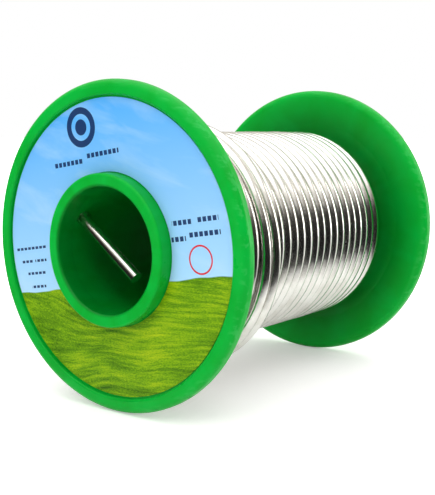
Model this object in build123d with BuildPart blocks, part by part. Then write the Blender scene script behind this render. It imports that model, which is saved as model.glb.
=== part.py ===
"""Solder wire spool: two moulded flanges on a core tube, wound with bare solder wire.

The spool lies on its rims. Its axis runs along Y, the labelled end faces -Y and +Z is up. The
origin is on the ground under the middle of the spool. All lengths are millimetres.
"""

import os
from math import sqrt

from build123d import *

# Spool
flange_diameter = 50.4
length_over_rims = 58.2
overall_length = 61.4
bore_diameter = 19.2
bore_rounding = 0.5

# Flange: a web with a rounded bead round its rim, stepped outside and dished towards it inside
rim_thickness = 2.8
rim_rounding = 1.1
bead_lip_rounding = 0.35
bead_inner_diameter = 45.8
web_thickness = 1.3
dish_rim_diameter = 47.6
dish_foot_diameter = 38.0
dish_rounding = 3.0

# Core: a thin tube whose thicker ends fill the flanges' holes and stand proud as collars
collar_diameter = 23.2
collar_rounding = 0.4
bore_land_length = 3.2
bore_relief_diameter = 19.54

# Solder wire: the full layers are counted from the core outwards
wire_diameter = 2.0
winding_diameter = 35.1
full_layer_turns = [26, 25, 26, 24]
part_layer_turns = 6
end_turn_arc = 160.0
turn_joining_width = 0.6
wire_clearance = 0.05

# The start of the wire crosses the bore as a straight tail and leaves through a slanting hole in
# the core, beside the front flange, to the corner where it bends into the first layer
wire_start_route = [
    (2.5, -25.95, 20.85),
    (-10.15, -25.95, 30.45),
]

# Label
label_thickness = 0.12
label_edge_gap = 0.3
label_collar_gap = 0.15

# Worked out from the sizes above
axis_height = flange_diameter / 2
half_length = overall_length / 2
rim_face_y = length_over_rims / 2
flange_radius = flange_diameter / 2
bore_radius = bore_diameter / 2
collar_radius = collar_diameter / 2
bead_inner_radius = bead_inner_diameter / 2
web_recess = (rim_thickness - web_thickness) / 2
web_back_depth = web_recess + web_thickness
winding_width = length_over_rims - 2 * web_back_depth
wire_radius = wire_diameter / 2
turn_pitch = winding_width / full_layer_turns[0]
layer_spacing = sqrt(wire_diameter**2 - (turn_pitch / 2) ** 2)
last_layer_radius = winding_diameter / 2 - wire_radius
first_layer_radius = last_layer_radius - (len(full_layer_turns) - 1) * layer_spacing
core_radius = first_layer_radius - wire_radius

spool_axis = Axis((0, 0, axis_height), (0, 1, 0))
section_plane = Plane.XY.offset(axis_height)

os.makedirs("parts", exist_ok=True)


def across_spool(y):
    """Plane square to the axis that faces the rear."""
    return Plane(origin=(0, y, axis_height), x_dir=(1, 0, 0), z_dir=(0, 1, 0))


def save(piece, name):
    """Label one finished piece and write it to its own file."""
    piece.label = name
    export_step(piece, f"parts/{name}.step")


# --- Flanges --------------------------------------------------------------------------------------


def make_flange(side):
    """One flange disc, with a hole for the end of the core: side is -1 at the front, 1 at the rear."""

    def at(radius, depth):
        return (radius, side * (rim_face_y - depth))

    outline = [
        at(collar_radius, web_recess),
        at(bead_inner_radius, web_recess),
        at(bead_inner_radius, 0),
        at(flange_radius, 0),
        at(flange_radius, rim_thickness),
        at(dish_rim_diameter / 2, rim_thickness),
        at(dish_foot_diameter / 2, web_back_depth),
        at(collar_radius, web_back_depth),
    ]
    lip, rim_outside, rim_inside, dish_rim, dish_foot = outline[2:7]
    roundings = [
        (lip, bead_lip_rounding),
        (rim_outside, rim_rounding),
        (rim_inside, rim_rounding),
        (dish_rim, dish_rounding),
        (dish_foot, dish_rounding),
    ]
    with BuildPart() as flange:
        with BuildSketch(section_plane) as profile:
            with BuildLine():
                Polyline(outline, close=True)
            make_face()
            for corner, rounding in roundings:
                fillet(profile.vertices().sort_by_distance(corner)[0], rounding)
        revolve(axis=spool_axis)
    return flange.part


save(make_flange(-1), "front_flange")
save(make_flange(1), "rear_flange")


# --- Start of the wire ----------------------------------------------------------------------------


def bar_along_start(radius):
    """A round bar along the start of the wire, as far as the corner outside the core."""
    start, corner = (Vector(point) for point in wire_start_route)
    with BuildPart() as bar:
        with BuildSketch(Plane(origin=start, z_dir=corner - start)):
            Circle(radius)
        extrude(amount=(corner - start).length)
    return bar.part


with BuildPart() as wire_start:
    add(bar_along_start(wire_radius))
    with BuildSketch(across_spool(-half_length)):
        Circle(core_radius)
    extrude(amount=overall_length, mode=Mode.INTERSECT)

save(wire_start.part, "wire_start")


# --- Core tube ------------------------------------------------------------------------------------

rear_half_outline = [
    (core_radius, winding_width / 2),
    (collar_radius, winding_width / 2),
    (collar_radius, half_length),
    (bore_radius, half_length),
    (bore_radius, half_length - bore_land_length),
    (bore_relief_diameter / 2, half_length - bore_land_length),
]
front_half_outline = [(radius, -y) for radius, y in reversed(rear_half_outline)]

with BuildPart() as core_tube:
    with BuildSketch(section_plane) as core_profile:
        with BuildLine():
            Polyline(rear_half_outline + front_half_outline, close=True)
        make_face()
        for end_y in (-half_length, half_length):
            for radius, rounding in ((collar_radius, collar_rounding), (bore_radius, bore_rounding)):
                corner = core_profile.vertices().sort_by_distance((radius, end_y))[0]
                fillet(corner, rounding)
    revolve(axis=spool_axis)
    add(bar_along_start(wire_radius + wire_clearance), mode=Mode.SUBTRACT)

save(core_tube.part, "core_tube")


# --- Wound wire -----------------------------------------------------------------------------------


def layer_radius(layer):
    """Distance from the axis to the middle of the wire in one layer, counted from 1."""
    return first_layer_radius + (layer - 1) * layer_spacing


def turn_y(layer, turn):
    """Place of one turn along the axis: even layers lie in the grooves of odd ones."""
    offset = turn_pitch / 2 if layer % 2 else turn_pitch
    return offset + turn * turn_pitch - winding_width / 2


def make_winding(layer, turns):
    """One layer of close turns as a closed solid, its turns joined along the middle of the wire."""
    centres = [(layer_radius(layer), turn_y(layer, turn)) for turn in range(turns)]
    middle_y = (centres[0][1] + centres[-1][1]) / 2
    with BuildPart() as winding:
        with BuildSketch(section_plane):
            with Locations(centres):
                Circle(wire_radius)
            with Locations((layer_radius(layer), middle_y)):
                Rectangle(turn_joining_width, (turns - 1) * turn_pitch)
        revolve(axis=spool_axis)
    return winding.part


for layer_number, layer_turns in enumerate(full_layer_turns, 1):
    save(make_winding(layer_number, layer_turns), f"wire_layer_{layer_number}")

part_layer = len(full_layer_turns) + 1
save(make_winding(part_layer, part_layer_turns), "wire_part_layer")

with BuildPart() as wire_end:
    with BuildSketch(section_plane):
        with Locations((layer_radius(part_layer), turn_y(part_layer, part_layer_turns))):
            Circle(wire_radius)
    revolve(axis=spool_axis, revolution_arc=end_turn_arc)

save(wire_end.part, "wire_end")


# --- Label ----------------------------------------------------------------------------------------

with BuildPart() as front_label:
    with BuildSketch(across_spool(web_recess - rim_face_y - label_thickness)):
        Circle(bead_inner_radius - label_edge_gap)
        Circle(collar_radius + label_collar_gap, mode=Mode.SUBTRACT)
    extrude(amount=label_thickness)

save(front_label.part, "front_label")
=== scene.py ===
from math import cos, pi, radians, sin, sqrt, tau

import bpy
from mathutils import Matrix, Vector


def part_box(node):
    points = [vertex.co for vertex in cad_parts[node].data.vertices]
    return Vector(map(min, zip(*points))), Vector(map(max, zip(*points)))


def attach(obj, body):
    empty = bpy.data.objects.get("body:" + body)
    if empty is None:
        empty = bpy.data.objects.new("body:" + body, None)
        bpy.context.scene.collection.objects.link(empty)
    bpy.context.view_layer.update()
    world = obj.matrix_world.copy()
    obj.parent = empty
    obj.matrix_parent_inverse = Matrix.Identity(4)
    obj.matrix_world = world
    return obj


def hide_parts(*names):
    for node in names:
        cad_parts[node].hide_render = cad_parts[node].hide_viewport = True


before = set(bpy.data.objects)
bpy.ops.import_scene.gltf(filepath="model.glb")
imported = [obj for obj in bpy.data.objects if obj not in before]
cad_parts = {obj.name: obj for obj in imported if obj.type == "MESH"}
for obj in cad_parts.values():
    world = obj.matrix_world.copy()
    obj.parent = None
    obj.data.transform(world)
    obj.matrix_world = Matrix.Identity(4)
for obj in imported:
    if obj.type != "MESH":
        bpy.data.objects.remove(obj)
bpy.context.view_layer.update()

# Looks of the solder wire spool: the wire as one wound length, the materials, the label and the
# studio. Lengths are metres, except on the label's artwork.

# --- Sizes taken from the frame, in metres --------------------------------------------------------


def half_height(node):
    """Outer radius of a node that goes all the way round the spool's axis."""
    low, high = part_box(node)
    return (high[2] - low[2]) / 2


def ends_along_axis(node):
    """Where a node begins and ends along the spool's axis."""
    low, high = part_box(node)
    return low[1], high[1]


flange_radius = half_height("front_flange")
axis_height = flange_radius
wire_radius = 0.001
full_layer_turns = [26, 25, 26, 24]
first_winding_y, last_winding_y = ends_along_axis("wire_layer_1")
turn_pitch = (last_winding_y - first_winding_y - 2 * wire_radius) / (full_layer_turns[0] - 1)
layer_radii = [half_height(f"wire_layer_{layer}") - wire_radius for layer in (1, 2, 3, 4)]
wound_radius = layer_radii[-1] + wire_radius
bore_radius = 0.0096
collar_limit = wound_radius - 0.004

# --- Camera ---------------------------------------------------------------------------------------


def make_camera():
    data = bpy.data.cameras.new("camera")
    data.lens = 67.9
    data.shift_y = 0.1035
    camera = bpy.data.objects.new("camera", data)
    camera.location = (0.09756, -0.12969, 0.04298)
    camera.rotation_euler = (radians(90 - 10.24), 0, radians(37.48))
    bpy.context.collection.objects.link(camera)
    bpy.context.scene.camera = camera


make_camera()

# --- Solder wire: one wire, from its cut start in the bore to its end on the winding -------------

# The route of the start, with a point on its long straight run as far from the corner as the next
wire_start_route = [
    (0.00250, -0.02595, 0.02085),
    (-0.00660, -0.02595, 0.02775),
    (-0.01015, -0.02595, 0.03045),
]

points_per_turn = 16
step_angle = tau / points_per_turn
bend_gain = 1 / (0.75 + 0.25 * cos(step_angle))
first_angle = radians(152.7)
crossing_steps = 4
loose_crossing_steps = 10
last_turn_steps = 13

# How far each turn of the part layer lies past its groove, in pitches, and how far the loose ones
# hang away from what they cross
loose_gaps = [0, 0, 0, 0, 0, 0.20, 0.36]
loose_sag = 0.0011


def turn_list():
    """Place along the axis and crossing steps of every turn, in the order of winding."""
    first_y = first_winding_y + wire_radius
    turns = []
    for layer, count in enumerate(full_layer_turns):
        in_grooves = layer % 2
        places = [first_y + (turn + in_grooves / 2) * turn_pitch for turn in range(count)]
        if in_grooves:
            places.reverse()
        turns += [(y, crossing_steps) for y in places]
    for turn, gap in enumerate(loose_gaps):
        steps = loose_crossing_steps if gap else crossing_steps
        turns.append((first_y + (turn + gap) * turn_pitch, steps))
    return turns


def smooth(step):
    return step * step * (3 - 2 * step)


def resting_reach(y, wound_before):
    """Distance from the axis at which the wire rests on the core or on the wire wound before it."""
    reach = layer_radii[0]
    for y_before, reach_before in wound_before:
        gap = abs(y - y_before)
        if gap < 2 * wire_radius:
            reach = max(reach, reach_before + sqrt((2 * wire_radius) ** 2 - gap**2))
    return reach


def wound_turns():
    """Place and reach at each step of every turn, which crosses to the next on the far side."""
    turns = turn_list()
    last_y, last_steps = turns[-1]
    turns.append((last_y + turn_pitch, last_steps))
    wound = []
    for (y, crossing), (next_y, _) in zip(turns, turns[1:]):
        flat_steps = points_per_turn - crossing
        sag = loose_sag if crossing == loose_crossing_steps else 0.0
        places, rests = [], []
        for step in range(points_per_turn):
            across = max(0.0, (step - flat_steps) / crossing)
            place = y + (next_y - y) * smooth(across)
            places.append(place)
            rest = resting_reach(place, [turn[step] for turn in wound])
            rests.append(rest + sag * sin(pi * across))
        around = [wound[-1][-1][1] if wound else rests[0], *rests, rests[-1]]
        # the curve cuts inside its points on a hump, so those stand further out
        steps = zip(around, rests, around[2:])
        reaches = [max(rest, (8 * rest - before - after) / 6) for before, rest, after in steps]
        wound.append(list(zip(places, reaches)))
    return wound


def wound_points():
    """The points of the smooth curve, up to the wire's end."""
    points = []
    for turn in wound_turns():
        for step, (y, reach) in enumerate(turn):
            angle = first_angle - step * step_angle
            out = reach * bend_gain
            points.append(Vector((out * cos(angle), y, axis_height + out * sin(angle))))
    return points[1 : len(points) - points_per_turn + last_turn_steps]


def make_wire():
    points = [Vector(point) for point in wire_start_route] + wound_points()
    curve = bpy.data.curves.new("solder_wire", "CURVE")
    curve.dimensions = "3D"
    curve.resolution_u = 5
    curve.bevel_depth = 1.0
    curve.bevel_resolution = 3
    curve.use_fill_caps = True
    spline = curve.splines.new("NURBS")
    spline.points.add(len(points) - 1)
    for spline_point, point in zip(spline.points, points):
        spline_point.co = (*point, 1)
        spline_point.radius = wire_radius
    spline.order_u = 3
    spline.use_endpoint_u = True
    wire = bpy.data.objects.new("solder_wire", curve)
    bpy.context.collection.objects.link(wire)
    return wire


wire = make_wire()
wire_nodes = [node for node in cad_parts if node.startswith("wire_")]
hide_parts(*wire_nodes)
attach(wire, "root")

# --- Materials ------------------------------------------------------------------------------------


def srgb(red, green, blue):
    """A colour given as 0 to 255 on a screen, as the linear colour that shaders use."""
    parts = [value / 255 for value in (red, green, blue)]
    linear = [p / 12.92 if p <= 0.04045 else ((p + 0.055) / 1.055) ** 2.4 for p in parts]
    return (*linear, 1.0)


class Shader:
    """The nodes of a material or a world. Each input is fed another node's output or a value."""

    def __init__(self, owner, surface="Principled BSDF"):
        owner.use_nodes = True
        self.tree = owner.node_tree
        self.surface = self.tree.nodes[surface]

    def node(self, kind, inputs=(), **settings):
        made = self.tree.nodes.new(kind)
        for key, value in settings.items():
            setattr(made, key, value)
        for key, value in dict(inputs).items():
            self.feed(made.inputs[key], value)
        return made

    def feed(self, socket, value):
        if isinstance(value, bpy.types.NodeSocket):
            self.tree.links.new(value, socket)
        else:
            socket.default_value = value

    def set(self, **values):
        """Sets the surface's sockets, named with _ for a space."""
        for key, value in values.items():
            self.feed(self.surface.inputs[key.replace("_", " ")], value)

    def math(self, operation, *values):
        return self.node("ShaderNodeMath", enumerate(values), operation=operation).outputs[0]

    def scaled(self, value, factor):
        return self.math("MULTIPLY", value, factor)

    def axes(self):
        """Object coordinates, measured from the spool's axis: across, along and up."""
        place = self.node("ShaderNodeTexCoord").outputs["Object"]
        across, along, up = self.node("ShaderNodeSeparateXYZ", {0: place}).outputs
        return across, along, self.math("SUBTRACT", up, axis_height)

    def length(self, first, second):
        squares = self.math("ADD", self.math("POWER", first, 2), self.math("POWER", second, 2))
        return self.math("SQRT", squares)

    def vector(self, *parts):
        return self.node("ShaderNodeCombineXYZ", enumerate(parts)).outputs[0]

    def round_axis(self, across_scale, along_scale, round_scale):
        """Coordinates that follow the spool round without a seam, and the distance from its axis."""
        across, along, up = self.axes()
        distance = self.length(across, up)
        # sine and cosine of the angle, so that the pattern has no seam
        side = self.math("MULTIPLY", self.math("DIVIDE", across, distance), round_scale)
        rise = self.math("MULTIPLY", self.math("DIVIDE", up, distance), round_scale)
        radial = self.math("MULTIPLY", distance, across_scale)
        shift = self.math("ADD", self.math("MULTIPLY", along, along_scale), radial)
        return self.vector(side, shift, rise), distance

    def noise(self, place, scale, detail=4.0, roughness=0.55, distortion=0.0):
        inputs = {"Vector": place, "Scale": scale, "Detail": detail}
        inputs.update({"Roughness": roughness, "Distortion": distortion})
        return self.node("ShaderNodeTexNoise", inputs).outputs["Fac"]

    def span(self, value, low, high, to_low=0.0, to_high=1.0):
        inputs = {"Value": value, "From Min": low, "From Max": high}
        inputs.update({"To Min": to_low, "To Max": to_high})
        return self.node("ShaderNodeMapRange", inputs, clamp=True).outputs[0]

    def mix(self, factor, first, second):
        inputs = {0: factor, 6: first, 7: second}
        return self.node("ShaderNodeMix", inputs, data_type="RGBA").outputs[2]

    def bump(self, height, distance, strength=1.0):
        inputs = {"Height": height, "Distance": distance, "Strength": strength}
        self.feed(self.surface.inputs["Normal"], self.node("ShaderNodeBump", inputs).outputs[0])


def plastic_material():
    """Glossy moulded plastic, with a faint flow pattern, orange peel, scuffed rims, and painted
    shade in the bore and beside the winding.
    """
    material = bpy.data.materials.new("green_plastic")
    shader = Shader(material)
    place, distance = shader.round_axis(40.0, 40.0, 1.0)
    across, along, up = shader.axes()
    plain = shader.vector(across, along, up)
    flow = shader.noise(place, 3.0, detail=3.0, distortion=0.6)
    shade = shader.span(flow, 0.35, 0.65)
    moulded = shader.mix(shade, srgb(0, 168, 46), srgb(0, 180, 60))
    # painted shade: the colour is darkened towards dark green in the bore and on the flanges next to
    # the winding, and left full towards the rims and on the collar
    web_painted_shade = shader.span(distance, wound_radius, flange_radius - 0.0015, 0.5, 1.0)
    collar = shader.math("LESS_THAN", distance, collar_limit)
    bore_painted_shade = shader.span(distance, bore_radius + 0.0001, bore_radius + 0.0005, 0.5, 1.0)
    brightness = shader.math("MULTIPLY", shader.math("MAXIMUM", web_painted_shade, collar), bore_painted_shade)
    # painted shade: mixes the moulded colour towards dark green by the factor above
    colour = shader.mix(brightness, srgb(0, 20, 4), moulded)
    grain = shader.noise(plain, 2600.0, detail=3.0)
    # squeezed sideways, which makes fine marks out of round spots
    squeezed = shader.vector(shader.scaled(across, 0.25), along, up)
    scratches = shader.noise(squeezed, 900.0, detail=5.0)
    rim_wear = shader.span(distance, flange_radius - 0.0012, flange_radius)
    scuff = shader.math("MULTIPLY", shader.span(scratches, 0.52, 0.62), rim_wear)
    smudge = shader.span(shader.noise(plain, 160.0, detail=5.0), 0.3, 0.7, 0.27, 0.40)
    roughness = shader.math("ADD", smudge, shader.math("MULTIPLY", scuff, 0.2))
    shader.set(
        Base_Color=shader.mix(shader.math("MULTIPLY", scuff, 0.25), colour, srgb(90, 205, 120)),
        Roughness=roughness,
        IOR=1.5,
        Specular_IOR_Level=0.15,
        Subsurface_Weight=0.12,
        Subsurface_Radius=(0.02, 1.0, 0.3),
        Subsurface_Scale=0.0015,
    )
    height = shader.math("ADD", grain, shader.math("MULTIPLY", scratches, -0.4))
    shader.bump(height, 0.000012)
    return material


def solder_material():
    """Drawn tin solder: bright metal with fine lines along the wire and slightly dull patches."""
    material = bpy.data.materials.new("solder")
    shader = Shader(material)
    place, _ = shader.round_axis(9000.0, 9000.0, 1.2)
    drawn = shader.noise(place, 1.0, detail=3.0)
    across, along, up = shader.axes()
    plain = shader.vector(across, along, up)
    patches = shader.noise(plain, 260.0, detail=5.0, roughness=0.6)
    dull = shader.span(patches, 0.4, 0.75)
    colour = shader.mix(dull, srgb(233, 232, 227), srgb(212, 209, 201))
    drawn_roughness = shader.span(drawn, 0.3, 0.7, 0.13, 0.21)
    roughness = shader.math("ADD", drawn_roughness, shader.scaled(dull, 0.1))
    shader.set(Base_Color=colour, Metallic=1.0, Roughness=roughness)
    dents = shader.noise(plain, 900.0, detail=2.0)
    shader.bump(shader.math("ADD", shader.math("MULTIPLY", drawn, 0.5), dents), 0.000014)
    return material


# Label artwork, in millimetres from the spool's axis: u to the right and v up on the turned label
label_tilt = radians(8.9)
horizon_v = -5.4
ground_v = horizon_v - 0.8
ground_edge = 0.06
roundel_centre = (-3.2, 18.9)
red_ring_centre = (16.8, -2.7)
ink_stroke_pitch = 0.9
ink_stroke_share = 0.72
# left, right, middle height and thickness of each bar
ink_bars = [
    (-9.9, -3.7, 13.9, 0.7),
    (-2.7, 3.9, 14.5, 0.7),
    (12.3, 15.9, 2.8, 0.7),
    (17.1, 20.8, 2.9, 0.7),
    (11.9, 14.6, 0.5, 0.7),
    (15.3, 20.9, 0.9, 0.7),
    (-21.6, -14.4, 1.7, 0.42),
    (-20.8, -18.2, -0.4, 0.42),
    (-17.6, -14.9, -0.4, 0.42),
    (-19.7, -15.5, -2.4, 0.42),
    (-19.2, -15.8, -4.6, 0.42),
]


def label_material():
    """Gloss paper printed with a sky and a meadow, with bars and rings in place of the print."""
    material = bpy.data.materials.new("label_paper")
    shader = Shader(material)
    across, along, up = (shader.math("MULTIPLY", part, 1000.0) for part in shader.axes())
    tilt_cos, tilt_sin = cos(label_tilt), sin(label_tilt)
    u = shader.math("ADD", shader.scaled(across, tilt_cos), shader.scaled(up, tilt_sin))
    v = shader.math("SUBTRACT", shader.scaled(up, tilt_cos), shader.scaled(across, tilt_sin))
    sky = sky_colour(shader, u, v)
    meadow = meadow_colour(shader, u, v)
    hills = shader.noise(shader.vector(u, 0.0, 0.0), 0.09, detail=2.0)
    ground_line = shader.math("ADD", v, shader.math("MULTIPLY", hills, -1.6))
    ground = shader.span(ground_line, ground_v - ground_edge, ground_v + ground_edge, 1.0, 0.0)
    picture = shader.mix(ground, sky, meadow)
    inked = shader.mix(printed_marks(shader, u, v), picture, srgb(14, 40, 92))
    red_ring = ring_mark(shader, u, v, red_ring_centre, 2.0, 0.13)
    inked = shader.mix(red_ring, inked, srgb(215, 40, 50))
    fibre = shader.noise(shader.vector(u, along, v), 6.0, detail=5.0)
    shader.set(
        Base_Color=inked,
        Roughness=shader.span(fibre, 0.3, 0.7, 0.36, 0.5),
        IOR=1.46,
        Specular_IOR_Level=0.2,
    )
    shader.bump(fibre, 0.00001)
    return material


def sky_colour(shader, u, v):
    """Pale at the horizon and deeper above, with thin wisps of cloud."""
    height = shader.span(v, horizon_v, 21.0)
    clear = shader.mix(height, srgb(170, 218, 254), srgb(86, 176, 250))
    drift = shader.math("ADD", shader.scaled(u, 0.35), shader.scaled(v, 0.9))
    along_wisp = shader.math("SUBTRACT", shader.scaled(u, 0.25), shader.scaled(v, 0.1))
    wisps = shader.noise(shader.vector(along_wisp, drift, 0.0), 0.22, detail=6.0, distortion=0.4)
    return shader.mix(shader.span(wisps, 0.48, 0.75, 0.0, 0.55), clear, srgb(190, 224, 252))


def meadow_colour(shader, u, v):
    """Fine rows of grass that run down to the right near the horizon and lie level further down."""
    slope = shader.span(v, -15.0, horizon_v, 0.03, 0.24)
    bend = shader.noise(shader.vector(u, v, 0.0), 0.05, detail=1.0)
    depth = shader.math("ADD", v, shader.math("MULTIPLY", u, slope))
    depth = shader.math("ADD", depth, shader.math("MULTIPLY", bend, 5.0))
    furrow_place = shader.vector(shader.scaled(u, 0.08), depth, 0.0)
    furrows = shader.noise(furrow_place, 1.5, detail=7.0, roughness=0.7)
    blade_place = shader.vector(shader.scaled(u, 0.45), depth, 0.0)
    blades = shader.noise(blade_place, 5.5, detail=5.0, roughness=0.8)
    patches = shader.noise(shader.vector(shader.scaled(u, 0.3), depth, 3.0), 0.28, detail=4.0)
    light = shader.math("ADD", shader.scaled(furrows, 0.45), shader.scaled(blades, 0.45))
    light = shader.math("ADD", light, shader.scaled(patches, 0.25))
    near = shader.mix(shader.span(light, 0.46, 0.60), srgb(44, 92, 0), srgb(116, 168, 0))
    return shader.mix(shader.span(light, 0.58, 0.74, 0.0, 0.9), near, srgb(198, 212, 16))


def printed_marks(shader, u, v):
    """Plain bars where lines of print would be, and a plain roundel."""
    marks = ring_mark(shader, u, v, roundel_centre, 2.5, 0.5)
    marks = shader.math("MAXIMUM", marks, ring_mark(shader, u, v, roundel_centre, 0.6, 0.6))
    stroke = shader.math("FRACT", shader.math("DIVIDE", u, ink_stroke_pitch))
    strokes = shader.math("LESS_THAN", stroke, ink_stroke_share)
    for left, right, middle, height in ink_bars:
        across = shader.math("COMPARE", u, (left + right) / 2, (right - left) / 2)
        upright = shader.math("COMPARE", v, middle, height / 2)
        bar = shader.math("MULTIPLY", shader.math("MULTIPLY", across, upright), strokes)
        marks = shader.math("MAXIMUM", marks, bar)
    return shader.scaled(marks, 0.95)


def ring_mark(shader, u, v, centre, radius, half_width):
    from_centre = [shader.math("SUBTRACT", *pair) for pair in zip((u, v), centre)]
    distance = shader.length(*from_centre)
    return shader.math("COMPARE", distance, radius, half_width)


def paint(node, material):
    bpy.data.objects[node].data.materials.clear()
    bpy.data.objects[node].data.materials.append(material)


plastic = plastic_material()
for plastic_node in ("front_flange", "rear_flange", "core_tube"):
    paint(plastic_node, plastic)
paint("front_label", label_material())
wire.data.materials.append(solder_material())

# --- Studio ---------------------------------------------------------------------------------------

floor_half_size = 4.0
floor_height = -0.0001
near_floor = (0.035, 0.060)
back_sector = (0.30, 0.52)


def backward(shader, x, y):
    """How far a direction on the level points to the back of the studio, a little to the left."""
    return shader.math("ADD", shader.math("MULTIPLY", x, -0.26), shader.math("MULTIPLY", y, 0.966))


def make_floor():
    """A pale floor that runs into the white background. In reflections only its near part shows."""
    signs = [(-1, -1), (1, -1), (1, 1), (-1, 1)]
    corners = [(x * floor_half_size, y * floor_half_size, floor_height) for x, y in signs]
    mesh = bpy.data.meshes.new("floor")
    mesh.from_pydata(corners, [], [(0, 1, 2, 3)])
    floor = bpy.data.objects.new("floor", mesh)
    bpy.context.collection.objects.link(floor)
    material = bpy.data.materials.new("floor")
    shader = Shader(material)
    across, along, up = shader.axes()
    grain = shader.noise(shader.vector(across, along, up), 60.0, detail=3.0)
    pale = shader.mix(grain, (0.86, 0.86, 0.86, 1), (0.9, 0.9, 0.9, 1))
    from_spool = shader.length(across, along)
    rays = shader.node("ShaderNodeLightPath").outputs
    to_back = shader.math("DIVIDE", backward(shader, across, along), from_spool)
    sideways = shader.span(to_back, *back_sector, 1.0, 0.0)
    far = shader.math("MULTIPLY", shader.span(from_spool, *near_floor), sideways)
    unlit = shader.math("MULTIPLY", far, rays["Is Glossy Ray"])
    fade = shader.span(from_spool, 0.02, 0.20, 0.3, 1.0)
    fade = shader.math("MULTIPLY", fade, rays["Is Camera Ray"])
    near_glow = shader.span(from_spool, *near_floor, 0.2, 0.0)
    near_glow = shader.math("MULTIPLY", near_glow, rays["Is Glossy Ray"])
    brightness = shader.math("ADD", fade, near_glow)
    shader.set(
        Base_Color=shader.mix(unlit, pale, (0.01, 0.01, 0.01, 1)),
        Roughness=0.8,
        Specular_IOR_Level=0.0,
        Emission_Color=(1, 1, 1, 1),
        Emission_Strength=brightness,
    )
    mesh.materials.append(material)


def make_light(name, place, size, power, mirrored=True):
    """A soft rectangular light turned to the spool. One that isn't mirrored has no reflection."""
    data = bpy.data.lights.new(name, "AREA")
    data.shape = "RECTANGLE"
    data.size, data.size_y = size
    data.energy = power
    light = bpy.data.objects.new(name, data)
    light.location = place
    light.visible_glossy = mirrored
    to_spool = Vector((0, 0, axis_height)) - Vector(place)
    light.rotation_euler = to_spool.to_track_quat("-Z", "Y").to_euler()
    bpy.context.collection.objects.link(light)


def make_world():
    """White behind the spool. Reflections see a tent, bright above and behind and dark beside."""
    world = bpy.data.worlds.new("studio")
    shader = Shader(world, "Background")
    direction = shader.node("ShaderNodeTexCoord").outputs["Generated"]
    x, y, z = shader.node("ShaderNodeSeparateXYZ", {0: direction}).outputs
    ceiling = shader.span(z, 0.30, 0.62)
    behind = shader.span(backward(shader, x, y), *back_sector)
    tent = shader.math("MAXIMUM", ceiling, behind)
    brightness = shader.span(tent, 0.0, 1.0, 0.03, 1.0)
    rays = shader.node("ShaderNodeLightPath").outputs
    unseen = shader.math("MULTIPLY", brightness, shader.math("SUBTRACT", 1.0, rays["Is Camera Ray"]))
    strength = shader.math("ADD", shader.math("MULTIPLY", unseen, 0.85), rays["Is Camera Ray"])
    warm = shader.mix(shader.span(z, 0.40, 0.85), (1.0, 0.93, 0.82, 1), (1, 1, 1, 1))
    shader.set(Color=shader.mix(rays["Is Camera Ray"], warm, (1, 1, 1, 1)), Strength=strength)
    bpy.context.scene.world = world


make_floor()
make_world()
make_light("overhead", (0.05, -0.05, 0.60), (1.0, 1.0), 3.4)
make_light("key", (0.45, -0.45, 0.45), (0.5, 0.4), 0.35)
make_light("front", (-0.25, -0.70, 0.25), (0.5, 0.5), 1.6, mirrored=False)
make_light("strip", (0.35, 0.45, 0.10), (0.14, 0.5), 1.2)
bpy.context.scene.view_settings.view_transform = "Standard"
